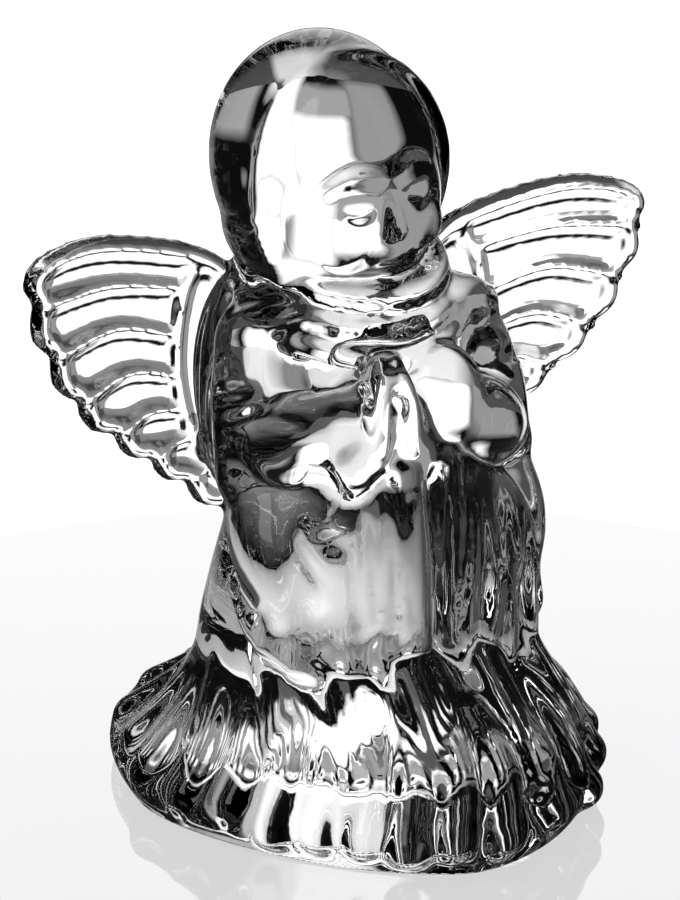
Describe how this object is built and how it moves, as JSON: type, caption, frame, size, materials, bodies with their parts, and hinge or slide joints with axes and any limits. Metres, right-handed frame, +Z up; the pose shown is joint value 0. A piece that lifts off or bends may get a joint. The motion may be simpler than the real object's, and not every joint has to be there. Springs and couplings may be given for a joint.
{
  "type": "crystal angel figurine",
  "caption": "Solid clear-glass figurine of a kneeling, hooded child angel praying with joined hands, its ribbed wings spread, on a flat round base.",
  "frame": {"origin": "centre of the bounding box at the underside, where the figurine stands", "axes": "+Z up, the angel faces -Y, its wings spread along X"},
  "size_m": [0.0881, 0.0778, 0.1003],
  "materials": {
    "clear_glass": "clear, solid, pressed and fire-polished crystal glass with a high gloss"
  },
  "bodies": {
    "root": {"angel": "clear_glass"}
  },
  "joints": []
}
